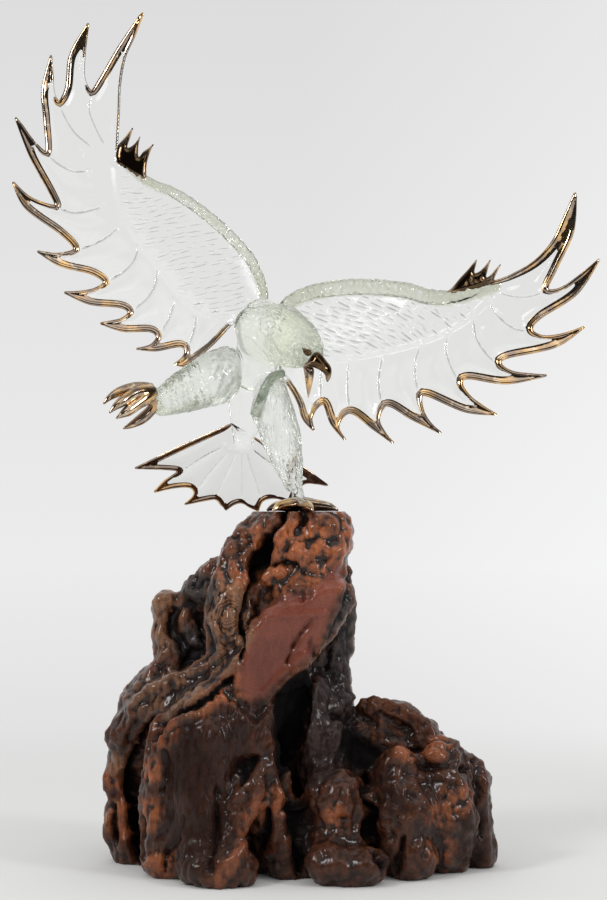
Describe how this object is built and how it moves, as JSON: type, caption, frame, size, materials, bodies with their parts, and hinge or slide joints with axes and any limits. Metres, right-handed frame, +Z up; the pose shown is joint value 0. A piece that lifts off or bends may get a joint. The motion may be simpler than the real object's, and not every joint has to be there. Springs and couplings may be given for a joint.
{
  "type": "glass eagle sculpture",
  "caption": "Clear glass eagle with gilded feather edges, wings spread, landing with one foot on a block of polished burl wood.",
  "frame": {"origin": "on the underside of the burl, below the standing foot", "axes": "+Z up, front of the sculpture towards -Y, and +X to the right as seen from the front"},
  "size_m": [0.4112, 0.1845, 0.5916],
  "materials": {
    "clear_glass": "clear lamp-worked glass, gilded along the feather edges, beak and talons",
    "polished_burl": "dark red-brown burl under a glossy lacquer"
  },
  "bodies": {
    "root": {"glass_eagle": "clear_glass", "burl_base": "polished_burl"}
  },
  "joints": []
}
